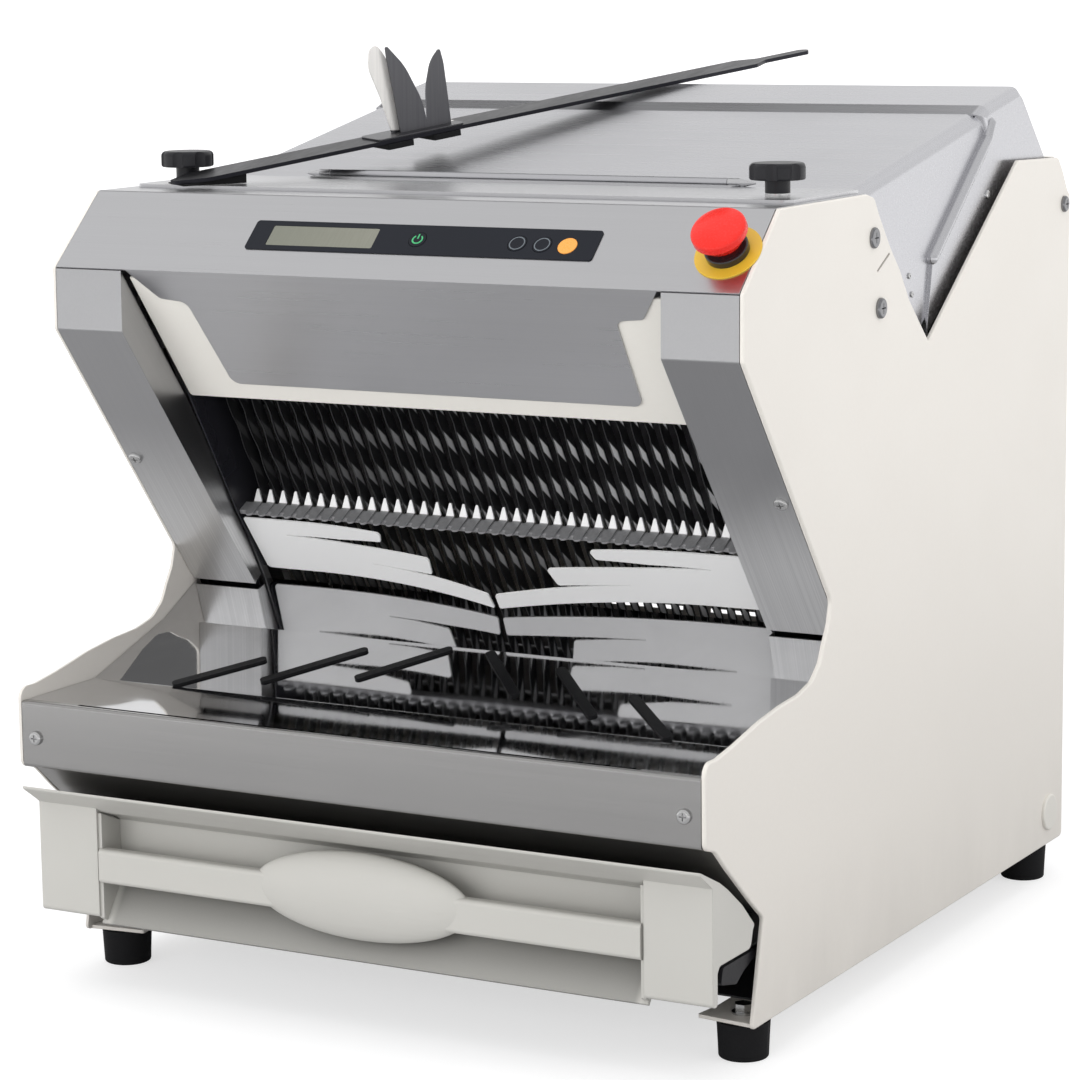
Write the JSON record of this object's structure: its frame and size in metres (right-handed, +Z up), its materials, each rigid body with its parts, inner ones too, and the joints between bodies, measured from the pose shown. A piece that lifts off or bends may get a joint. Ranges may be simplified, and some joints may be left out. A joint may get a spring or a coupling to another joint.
{
  "type": "bread slicer",
  "caption": "Counter-top bread slicer with reciprocating blade frames, inclined loaf bed under a hinged lid, out-feed tray, crumb drawer, keypad and emergency stop.",
  "frame": {"origin": "centre of the overall box on the ground plane under the rubber feet", "axes": "+X to the machine's right as seen from the front, +Y from the front (tray) to the rear, +Z up"},
  "size_m": [0.6468, 0.8189, 0.7821],
  "materials": {
    "cream_paint": "satin",
    "stainless": "brushed",
    "stainless_polished": "mirror polished",
    "cream_plastic": "satin",
    "white_plastic": "matt",
    "black_plastic": "matt",
    "black_gloss": "gloss",
    "keypad_film": "satin film",
    "display": "clear window over a liquid crystal",
    "orange_plastic": "gloss",
    "red_plastic": "gloss",
    "yellow_plastic": "satin",
    "rubber": "matt",
    "steel": "ground",
    "blade_steel": "ground, dark",
    "zinc_screw": "bright",
    "black_paint": "matt",
    "cast_aluminium": "cast"
  },
  "bodies": {
    "housing": {"side_panel_left": "cream_paint", "side_panel_right": "cream_paint", "top_cover": "stainless", "pillar_right": "stainless", "pillar_left": "stainless", "bread_hood": "cream_paint", "top_front_plate": "stainless", "hinge_pin": "steel", "knob_studs": "zinc_screw", "keypad": "keypad_film", "display_window": "display", "estop_plate": "yellow_plastic", "estop_collar": "black_gloss", "tray": "stainless_polished", "tray_strips": "rubber", "apron": "stainless", "drawer_runners": "black_plastic", "bread_bed": "stainless", "pusher_rods": "steel", "chamber_guards": "black_paint", "slice_comb": "steel", "flap_right": "white_plastic", "flap_left": "white_plastic", "guide_rods": "steel", "guide_blocks": "cast_aluminium", "bearing_blocks": "cast_aluminium", "drive_beam": "black_paint", "motor": "black_paint", "drive_belt": "rubber", "base_plate": "black_paint", "rear_panel": "cream_paint", "power_inlet": "black_plastic", "control_box": "black_plastic", "feet": "rubber", "case_fasteners": "zinc_screw", "plug_caps": "cream_plastic"},
    "lid": {"lid": "stainless", "lid_seals": "rubber", "lid_screws": "zinc_screw"},
    "paddle": {"paddle_bar": "stainless", "paddle_clips": "rubber", "paddle_ears": "stainless"},
    "pusher": {"pusher": "stainless"},
    "front_frame": {"front_blade_frame": "cast_aluminium", "front_blades": "blade_steel"},
    "rear_frame": {"rear_blade_frame": "cast_aluminium", "rear_blades": "blade_steel"},
    "crankshaft": {"crankshaft": "steel"},
    "front_connecting_rod": {"connecting_rod_front": "cast_aluminium"},
    "rear_connecting_rod": {"connecting_rod_rear": "cast_aluminium"},
    "motor_pulley": {"motor_pulley": "steel"},
    "left_knob": {"knob_left": "black_plastic"},
    "right_knob": {"knob_right": "black_plastic"},
    "estop_button": {"estop_cap": "red_plastic"},
    "power_key": {"power_key": "keypad_film"},
    "select_key_left": {"select_key_left": "keypad_film"},
    "select_key_right": {"select_key_right": "keypad_film"},
    "start_key": {"start_key": "orange_plastic"},
    "crumb_drawer": {"drawer_front": "cream_plastic", "drawer_box": "stainless"}
  },
  "joints": [
    {"name": "lid_hinge", "type": "hinge", "parent": "housing", "child": "lid", "pos_m": [0, -0.10007, 0.673], "axis": [1, 0, 0], "range_deg": [0, 60]},
    {"name": "paddle_lift", "type": "slide", "parent": "housing", "child": "paddle", "axis": [0, 0, 1], "range_m": [0, 0.42]},
    {"name": "pusher_slide", "type": "slide", "parent": "housing", "child": "pusher", "axis": [0, -0.8241, -0.5664], "range_m": [0, 0.29]},
    {"name": "front_frame_slide", "type": "slide", "parent": "housing", "child": "front_frame", "axis": [0, 0.5, -0.866], "range_m": [-0.015, 0.015]},
    {"name": "rear_frame_slide", "type": "slide", "parent": "housing", "child": "rear_frame", "axis": [0, 0.5, -0.866], "range_m": [-0.015, 0.015]},
    {"name": "crank_spin", "type": "hinge", "parent": "housing", "child": "crankshaft", "pos_m": [0, -0.03207, 0.17049], "axis": [1, 0, 0], "continuous": true},
    {"name": "front_rod_swing", "type": "hinge", "parent": "crankshaft", "child": "front_connecting_rod", "pos_m": [-0.0325, -0.04505, 0.16299], "axis": [1, 0, 0], "continuous": true},
    {"name": "rear_rod_swing", "type": "hinge", "parent": "crankshaft", "child": "rear_connecting_rod", "pos_m": [0.0325, -0.01908, 0.17799], "axis": [1, 0, 0], "continuous": true},
    {"name": "motor_spin", "type": "hinge", "parent": "housing", "child": "motor_pulley", "pos_m": [0.154, 0.15493, 0.15], "axis": [1, 0, 0], "continuous": true},
    {"name": "left_knob_turn", "type": "hinge", "parent": "housing", "child": "left_knob", "pos_m": [-0.28, -0.19306, 0.682], "axis": [0, 0, 1], "continuous": true},
    {"name": "right_knob_turn", "type": "hinge", "parent": "housing", "child": "right_knob", "pos_m": [0.28, -0.19306, 0.682], "axis": [0, 0, 1], "continuous": true},
    {"name": "estop_press", "type": "slide", "parent": "housing", "child": "estop_button", "axis": [0, 0.6774, -0.7356], "range_m": [0, 0.004]},
    {"name": "power_key_press", "type": "slide", "parent": "housing", "child": "power_key", "axis": [0, 0.6774, -0.7356], "range_m": [0, 0.0006], "stiffness_N_per_m": 600},
    {"name": "select_key_left_press", "type": "slide", "parent": "housing", "child": "select_key_left", "axis": [0, 0.6774, -0.7356], "range_m": [0, 0.0006], "stiffness_N_per_m": 600},
    {"name": "select_key_right_press", "type": "slide", "parent": "housing", "child": "select_key_right", "axis": [0, 0.6774, -0.7356], "range_m": [0, 0.0006], "stiffness_N_per_m": 600},
    {"name": "start_key_press", "type": "slide", "parent": "housing", "child": "start_key", "axis": [0, 0.6774, -0.7356], "range_m": [0, 0.0006], "stiffness_N_per_m": 600},
    {"name": "drawer_slide", "type": "slide", "parent": "housing", "child": "crumb_drawer", "axis": [0, -1, 0], "range_m": [0, 0.24]}
  ],
  "couplings": [
    {"joint": "paddle_lift", "follows": "lid_hinge", "m_per_rad": 0.4},
    {"joint": "rear_frame_slide", "follows": "front_frame_slide", "ratio": -1},
    {"joint": "front_rod_swing", "follows": "crank_spin", "ratio": -1},
    {"joint": "rear_rod_swing", "follows": "crank_spin", "ratio": -1},
    {"joint": "motor_spin", "follows": "crank_spin", "ratio": 1.6}
  ]
}
